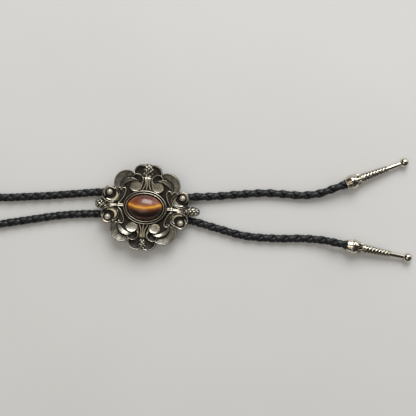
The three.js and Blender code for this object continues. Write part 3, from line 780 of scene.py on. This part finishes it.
def outline(angles):
    """The ornament's outer edge: the furthest that a saucer or the base reaches, slightly smoothed."""
    folded = np.arctan2(np.abs(np.sin(angles)), np.abs(np.cos(angles)))
    reach = oval_reach(folded, 0, 0, 0.92 * HALF_LENGTH, 0.4 * HALF_WIDTH)
    for name, middle_x, middle_y, half_x, half_y, *_ in SAUCERS:
        for x, y in ((middle_x, middle_y), (middle_x, -middle_y), (-middle_x, middle_y)):
            reach = np.maximum(reach, oval_reach(folded, x, y, half_x, half_y))
    for _ in range(3):
        reach = (np.roll(reach, 1) + 2 * reach + np.roll(reach, -1)) / 4
    return reach


def blurred(grid, times):
    """Each number becomes half of itself and a quarter of each neighbour, round and across, many times."""
    for _ in range(times):
        grid = (np.roll(grid, 1, axis=1) + 2 * grid + np.roll(grid, -1, axis=1)) / 4
        padded = np.vstack([grid[:1], grid, grid[-1:]])
        grid = (padded[:-2] + 2 * padded[1:-1] + padded[2:]) / 4
    return grid


reaches = outline(full_turn(360))
print(f"Outline {reaches.min():.1f} to {reaches.max():.1f} mm from the middle")

# %% Casting
RELIEF_ANGLES = 960
RELIEF_RINGS = 96
BEZEL_OUTSIDE = (12.1, 9.6)
UNDER_BEZEL = 0.9
SIDE_WEAR = 0.48
WIDE_BLUR = 60
NARROW_BLUR = 6

# The rounded outer edge: distance outwards and downwards from the last ring of the face, in millimetres
EDGE_ROUNDING = [(0.05, 0.07), (0.08, 0.24)]

casting_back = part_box("slide_casting")[0][2] / MM


def add_relief():
    """The face as rings from under the bezel out to the outline, with an upright edge and a back. A spot's
    wear is 0.06 + 0.72 * polish + 0.35 * (height - wide blur) + 1.3 * (height - narrow blur)."""
    angles = full_turn(RELIEF_ANGLES)
    inner = UNDER_BEZEL * oval_reach(angles, 0, 0, *BEZEL_OUTSIDE)
    outer = outline(angles)
    share = np.linspace(0, 1, RELIEF_RINGS)[:, None]
    radius = inner + (outer - inner) * share
    x, y = radius * np.cos(angles), radius * np.sin(angles)
    height, polish = relief_height(x, y)
    raised = height - blurred(height, WIDE_BLUR)
    fine = height - blurred(height, NARROW_BLUR)
    wear = 0.06 + 0.72 * polish + 0.35 * raised + 1.3 * fine
    wall = np.array([*EDGE_ROUNDING, (EDGE_ROUNDING[-1][0], np.inf)])[..., None]
    wall_height = np.maximum(height[-1] - wall[:, 1], 0)
    radius = np.vstack([inner, radius, outer + wall[:, 0]])
    height = np.vstack([0 * inner, height, wall_height])
    wear = np.vstack([0 * inner, wear, np.full(wall_height.shape, SIDE_WEAR)])
    points = oval_rings(radius, radius, casting_back + height, RELIEF_ANGLES)
    faces = grid_faces(*radius.shape, round_rows=True)
    return add_piece("ornament_relief", points, [faces], *ORNAMENT, {"wear": wear}, crease=75.0)


add_relief()

# %% [markdown]
# ## The bezel
# A bezel is a wall of metal that is rolled over the stone's edge. This one has two raised rims with a
# groove between them. It is no part of the relief, because one height over each spot can't give upright
# walls. Its section is a short table, smoothed and carried round the stone's oval.

# %% Bezel
STONE_HALF_LENGTH = 9.1
STONE_HALF_WIDTH = 6.55
BEZEL_COLUMNS = 288

# Distance outwards from the stone's edge, height above the casting's back, and wear from 0 black to 1 bright
BEZEL_SECTION = [
    (0.10, 3.00, 0.0), (0.10, 3.90, 0.0), (0.18, 4.25, 0.1), (0.45, 4.40, 0.2), (0.66, 4.62, 0.6),
    (0.80, 4.76, 1.0), (0.96, 4.76, 1.0), (1.10, 4.55, 0.4), (1.16, 3.90, 0.0), (1.30, 3.42, 0.0),
    (1.62, 3.40, 0.0), (1.76, 3.75, 0.1), (1.88, 4.02, 0.8), (2.04, 4.12, 1.0), (2.22, 4.04, 0.8),
    (2.34, 3.70, 0.3), (2.60, 2.90, 0.1), (3.00, 2.10, 0.0), (3.00, 0.00, 0.0),
]


def add_bezel():
    """The section carried round the stone's oval, each offset with a wobble of up to 0.03 mm. Two last rings
    lead it under the stone, so that it closes."""
    section = np.vstack([Line(BEZEL_SECTION, samples=3).points, [(-3.0, 0.0, 0.0), (-3.0, 3.0, 0.0)]])
    angles = full_turn(BEZEL_COLUMNS)
    offsets = section[:, :1] + 0.02 * np.sin(3 * angles + 0.7) + 0.012 * np.sin(7 * angles)
    points = oval_rings(STONE_HALF_LENGTH + offsets, STONE_HALF_WIDTH + offsets,
                        section[:, 1:2] + casting_back, BEZEL_COLUMNS)
    faces = grid_faces(len(section), BEZEL_COLUMNS, round_rows=True)
    return add_piece("bezel", points, [faces], *ORNAMENT, {"wear": section[:, 2:]})


add_bezel()

# %% [markdown]
# ## Balls and flower heads
# Small solid details stand free of the face, so they are closed surfaces of their own: a ball in each
# volute, and a flower head at the end of each stem. A flower head is a blunt cone covered with lozenges,
# like a thistle.

# %% Balls
BALL_RADIUS = 1.55
BALL_PLACE = (19.3, 6.6)
BALL_HEIGHT = 2.49
BALL_ROWS = 18
BALL_COLUMNS = 28
BALL_SATIN = 0.12


def add_balls():
    polar = np.linspace(0, math.pi, BALL_ROWS)[:, None]
    unit = oval_rings(np.sin(polar), np.sin(polar), np.cos(polar), BALL_COLUMNS)
    dent = 1 + 0.012 * np.sin(5 * unit[..., :1] + 4 * unit[..., 1:2]) + 0.01 * np.sin(9 * unit[..., 2:])
    middles = [(sx * BALL_PLACE[0], sy * BALL_PLACE[1], casting_back + BALL_HEIGHT)
               for sx in (1, -1) for sy in (1, -1)]
    copies = np.array(middles)[:, None, None, :] + BALL_RADIUS * unit * dent
    # Painted light and shade: each ball's stored number grows with height, so its top is painted brighter
    # and its lower half darker.
    numbers = {"wear": 0.95 + 0.45 * unit[..., 2], "satin": BALL_SATIN}
    return add_closed("volute_balls", copies, *ORNAMENT, numbers)


add_balls()

# %% Flower heads
# Each flower: the way it points in degrees, where it starts and how long and broad it is, in millimetres
FLOWERS = [
    ("right", 0, 19.4, 9.7, 5.2),
    ("crown", 90, 15.6, 7.5, 6.5),
    ("left", 180, 19.7, 7.0, 5.4),
    ("foot", 270, 16.1, 6.9, 5.0),
]
FLOWER_FOOT = 0.9
FLOWER_RISE = 1.9
FLOWER_BLUNTNESS = 0.42
LOZENGE = 2.25
LOZENGE_DEPTH = 0.5
FLOWER_RINGS = 72
FLOWER_SIDES = 88


def flower_head(long, broad):
    """A blunt cone along +X covered with lozenges, as rings x sides x 3, and how bright each point is. Its
    upper side is painted brighter than its flanks and underside: painted light.
    Half its width is broad / 2 * sin(pi t^1.15)^bluntness. Two sets of lines cross it, where along + across
    and along - across are whole lozenges. With d from 0 midway between two lines to 1 on a line, a lozenge
    stands depth * (1 - d1^3) (1 - d2^3) above the lines, which stay black."""
    t = np.linspace(0, 1, FLOWER_RINGS)[:, None]
    around = full_turn(FLOWER_SIDES)
    full = np.abs(np.sin(math.pi * t**1.15)) ** FLOWER_BLUNTNESS
    x = long * t + 0 * around
    y = broad / 2 * full * np.cos(around)
    bend = 0.12 * np.sin(2.3 * x + 1.7 * y) + 0.10 * np.sin(3.1 * y + 0.6)
    bulge = np.ones(x.shape)
    rubbed = np.ones(x.shape)
    for side in (1, -1):
        d = zigzag((x + side * y) / LOZENGE + bend + 0.5)
        bulge = bulge * (1 - d**3)
        rubbed = rubbed * soft_step(0.84 - d, 0.3)
    top = np.clip(np.sin(around), 0, 1)
    rise = np.where(np.sin(around) > 0, FLOWER_RISE, 0.4) * full * np.sin(around)
    z = FLOWER_FOOT + rise + LOZENGE_DEPTH * bulge * full * top**0.5
    # The black lines between lozenges are patina. The factor from top is painted light: brighter on the
    # upper side, darker on the flanks and underside.
    bright = 1.1 * rubbed * np.clip(0.3 + 1.4 * top, 0, 1)
    return np.stack([x, y, z], axis=-1), bright


def add_flowers():
    copies, wear_and_light_grids = [], []
    for name, heading, start, long, broad in FLOWERS:
        shape, bright = flower_head(long, broad)
        way = math.radians(heading)
        x, y = start + shape[..., 0], shape[..., 1]
        points = [x * math.cos(way) - y * math.sin(way), x * math.sin(way) + y * math.cos(way)]
        copies.append(np.stack([*points, shape[..., 2] + casting_back], axis=-1))
        wear_and_light_grids.append(bright)
    return add_closed("flower_heads", np.array(copies), *ORNAMENT, {"wear": np.array(wear_and_light_grids)})


add_flowers()

# %% [markdown]
# ## The stone
# Tiger's eye is quartz that grew round fine golden fibres. A dome cut across them gathers the light into
# one bright band, as on a reel of silk. Here that band is a painted reflection that belongs to the stone:
# its colour is worked out from the place on the dome, with the fibres as thin streaks across the band.

# %% Tiger's eye
def tiger_eye_finish():
    """The colour follows the place across the band, y - 0.023 x^2 - 0.05 x + 0.02 in millimetres, which the
    noise of the fibres makes uneven."""
    graph = Graph("tiger_eye", Roughness=0.34, Coat_Weight=0.5, Coat_Roughness=0.07, IOR=1.54)
    x, y, z = graph.axes(graph.place())
    x, y = x / MM, y / MM
    stretched = graph.node("CombineXYZ", values={"X": x * 1.6, "Y": y * 0.22, "Z": z / MM * 0.22})
    fibre = graph.noise(1.0, detail=4.0, roughness=0.6, at=stretched)
    cloud = graph.noise(240.0, detail=2.0)
    level = y - 0.023 * x * x - 0.05 * x + 0.02 + (fibre - 0.5) * 0.45 + (cloud - 0.5) * 0.8
    share = graph.node("MapRange", values={"Value": level, "From Min": -6.6, "From Max": 6.6})
    # Painted reflection: the bright golden band across the dome, which the fibres' sheen would make.
    colour = graph.ramp(share, [
        (0.00, (0.12, 0.024, 0.012)), (0.09, (0.045, 0.010, 0.006)), (0.17, (0.010, 0.004, 0.003)),
        (0.29, (0.028, 0.010, 0.005)), (0.37, (0.11, 0.035, 0.008)), (0.435, (0.34, 0.12, 0.015)),
        (0.485, (0.80, 0.38, 0.035)), (0.515, (0.70, 0.29, 0.022)), (0.565, (0.32, 0.095, 0.016)),
        (0.66, (0.18, 0.042, 0.014)), (0.84, (0.14, 0.032, 0.014)), (1.00, (0.04, 0.011, 0.008)),
    ])
    streaks = graph.ramp(fibre, [(0.3, (0.35, 0.30, 0.28)), (0.7, (1.0, 1.0, 1.0))])
    return graph.finish(Base_Color=graph.mix(0.35, colour, streaks, blend="MULTIPLY"))


tiger_eye = tiger_eye_finish()
print("Tiger's eye:", len(tiger_eye.node_tree.nodes), "nodes")

# %% Stone
STONE_GIRDLE = 1.0
STONE_DOME = 4.6
STONE_ROWS = 40
STONE_COLUMNS = 128

# Share of the half sizes and height in millimetres of the rings below the girdle
STONE_BACK = [(0.0, 0.0), (0.94, 0.0), (0.985, 0.12), (1.0, 0.45)]


def add_stone():
    """Rings from the flat back over the girdle to the dome's top: half size cos(rise), dome sin(rise)."""
    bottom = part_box("cabochon")[0][2] / MM
    rise = np.linspace(0, math.pi / 2, STONE_ROWS)
    dome = np.column_stack([np.cos(rise), STONE_GIRDLE + STONE_DOME * np.sin(rise)])
    share, height = np.vstack([STONE_BACK, dome]).T[..., None]
    points = oval_rings(STONE_HALF_LENGTH * share, STONE_HALF_WIDTH * share, bottom + height, STONE_COLUMNS)
    return add_closed("stone", points[None], tiger_eye, "tiger_eye", "cabochon", {})


add_stone()

# %% [markdown]
# ## The tips
# A tip is cast or turned and then plated bright. It is a surface of revolution: a table of radii along its
# axis, smoothed. The collar's flutes and the chased pattern then push the surface in and out by formulas of
# the place along and round the axis. The same formulas say where black stays in the cuts. A bump in the
# finish could draw the cuts too, but would leave the outline smooth.

# %% Nickel silver
def nickel_silver_finish():
    graph = Graph("nickel_silver", Metallic=1.0)
    wear = graph.attribute("wear")
    smear = graph.noise(700.0, detail=4.0)
    bright = graph.range(wear + (smear - 0.5) * 0.3, 0.1, 0.75)
    tone = graph.mix(smear, (0.58, 0.52, 0.42, 1), (0.76, 0.71, 0.61, 1))
    colour = graph.mix(bright, (0.035, 0.025, 0.018, 1), tone)
    graph.bump(graph.noise(3000.0, detail=3.0), 0.02 * MM, 0.4)
    return graph.finish(Base_Color=colour, Roughness=0.42 - bright * 0.26)


nickel_silver = nickel_silver_finish()
print("Nickel silver:", len(nickel_silver.node_tree.nodes), "nodes")

# %% Tips
COLLAR_FLUTES = 16
FLUTE_DEPTH = 0.22
BELL_SLOTS = 9
SLOT_DEPTH = 0.34
ENGRAVED_LENGTH = 15.4
ZIGZAGS = 4
ZIGZAG_PITCH = 1.8
CUT_DEPTH = 0.19
BORE_RADIUS = CORD_DIAMETER / 2 + SOCKET_AIR
TIP_COLUMNS = 168

# Where the flutes and the slots start and end, from the cord end
FLUTED = (0.2, 3.0)
SLOTTED = (5.5, 8.4)
cone_at = COLLAR_LENGTH + BELL_LENGTH
plain_at = cone_at + ENGRAVED_LENGTH

# Distance from the cord end and radius, in millimetres, over the outside of the tip
TIP_SECTION = [
    (0.00, 2.70), (0.05, 2.92), (0.30, 3.02), (1.60, 3.32), (2.85, 3.68), (3.05, 3.80), (3.25, 3.98),
    (3.60, 4.00), (4.10, 3.95), (5.20, 3.64), (6.40, 3.22), (7.40, 2.82), (8.10, 2.48), (8.50, 2.14),
    (8.75, 2.10), (8.95, 2.40), (9.30, 2.45), (12.0, 2.28), (15.0, 2.08), (18.0, 1.90), (20.8, 1.76),
    (23.6, 1.58), (24.1, 1.55), (24.4, 1.42), (26.0, 1.34), (28.0, 1.26), (30.6, 1.17), (31.35, 1.17),
]


def tip_profile():
    """Distances and radii from the socket's bottom over its mouth, along the outside and round the ball."""
    outside = Line([(at, radius, 0) for at, radius in TIP_SECTION], samples=9).points[:, :2]
    joint = TIP_SECTION[-1]
    start = math.atan2(joint[1], ball_at - joint[0])
    around = np.linspace(start, math.pi, 22)[1:]
    ball_radius = END_BALL_DIAMETER / 2
    ball = np.column_stack([ball_at - ball_radius * np.cos(around), ball_radius * np.sin(around)])
    socket = np.array([(SOCKET_DEPTH, 0.0), (SOCKET_DEPTH, BORE_RADIUS * 0.6), (SOCKET_DEPTH, BORE_RADIUS),
                       (0.15, BORE_RADIUS), (0.0, BORE_RADIUS + 0.1)])
    return np.vstack([socket, outside, ball]), len(socket)


def between(value, low, high, soft):
    """1 between two values and 0 outside them, with soft edges."""
    return soft_step(value - low, soft) * soft_step(high - value, soft)


def tip_relief(along, angle):
    """How deep the surface is cut at each place, from 0 to 1, by groove: narrow flutes on the collar, slots
    like drops on the bell, and on the cone the ground between zigzag bands, with a fine ring at each end."""
    flutes = soft_step(0.38 - np.abs(np.sin(angle * COLLAR_FLUTES / 2)), 0.3)
    flutes = flutes * between(along, *FLUTED, 0.25)
    slot_share = (along - SLOTTED[0]) / (SLOTTED[1] - SLOTTED[0])
    drop = np.sin(math.pi * np.clip(slot_share, 0, 1)) ** 0.7
    slot_place = zigzag(angle * BELL_SLOTS / (2 * math.pi))
    slots = soft_step(0.62 * drop - slot_place, 0.22)
    wave = zigzag(angle * ZIGZAGS / (2 * math.pi))
    phase = ((along - cone_at) / ZIGZAG_PITCH + 0.6 * wave) % 1
    ground = soft_step(np.abs(phase - 0.5) - 0.22, 0.12)
    dots = soft_step(0.13 - np.hypot(np.minimum(phase, 1 - phase), (wave - 0.5) * 0.5), 0.08)
    field = between(along, cone_at + 0.9, plain_at - 0.8, 0.2)
    rings = between(along, cone_at + 0.45, cone_at + 0.75, 0.1)
    rings = rings + between(along, plain_at - 0.65, plain_at - 0.4, 0.1)
    return flutes, slots, np.clip(ground - dots, 0, 1) * field + rings


def add_tip(name):
    """The profile carried round the tip's axis, with the flutes, slots and cuts sunk into its outside."""
    profile, socket_rows = tip_profile()
    angle = full_turn(TIP_COLUMNS)
    along = profile[:, :1] + 0 * angle
    flutes, slots, cuts = tip_relief(along, angle)
    outside = (np.arange(len(profile)) >= socket_rows + 3)[:, None]
    sunk = (FLUTE_DEPTH * flutes + SLOT_DEPTH * slots + CUT_DEPTH * cuts) * outside
    radius = np.clip(profile[:, 1:] - sunk, 0, None)
    wear = 0.9 * (1 - np.clip(flutes + slots + cuts, 0, 1)) * outside
    start, way = tip_axis(name)
    points = start + along[..., None] * way + around_axis(way, angle, radius)
    return add_closed(name + "_metal", points[None], nickel_silver, "nickel_silver", name, {"wear": wear})


tip_pieces = {name: add_tip(name) for name in TIPS}

# %% [markdown]
# ## The clip
# Behind the ornament a plain bent clip holds both strands. It keeps its CAD shape and only gets a finish:
# brushed steel, with fine streaks along its length.

# %% Plain steel
def plain_steel_finish():
    graph = Graph("plain_steel", Metallic=1.0)
    x, y, z = graph.axes(graph.place())
    streaks = graph.node("CombineXYZ", values={"X": x * 90.0, "Y": y * 5200.0, "Z": z * 5200.0})
    brushed = graph.noise(1.0, detail=4.0, at=streaks)
    stain = graph.noise(300.0)
    colour = graph.mix(stain, (0.42, 0.41, 0.40, 1), (0.60, 0.59, 0.57, 1))
    graph.bump(brushed, 0.02 * MM, 0.5)
    return graph.finish(Base_Color=colour, Roughness=0.30 + brushed * 0.2)


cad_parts["back_clip"].material_slots[0].material = plain_steel_finish()
print("Clip finished")

# %% [markdown]
# The two tails are free ends. For each one the code works out points along its line and the spot where it
# leaves the clip. The neck loop is worn as a whole loop and lies as one, with nothing coiled away, so it is
# a plain piece.

def clip_mouth(name):
    """Where a tail leaves the clip: in the middle of its channel, at the clip's end towards the tips."""
    line = tail_lines[name]
    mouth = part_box("back_clip")[1][0] / MM
    return line.at(mouth - line.points[0, 0])[0] * MM


def declare_tail(name):
    line = tail_lines[name]
    path = line.at(np.linspace(0, line.length, 60))[0] * MM
    clip_mouth(name)


for tail_name, (tail_route, tip_name, tail_roll) in TAILS.items():
    declare_tail(tail_name)
print("Tails declared:", list(TAILS))
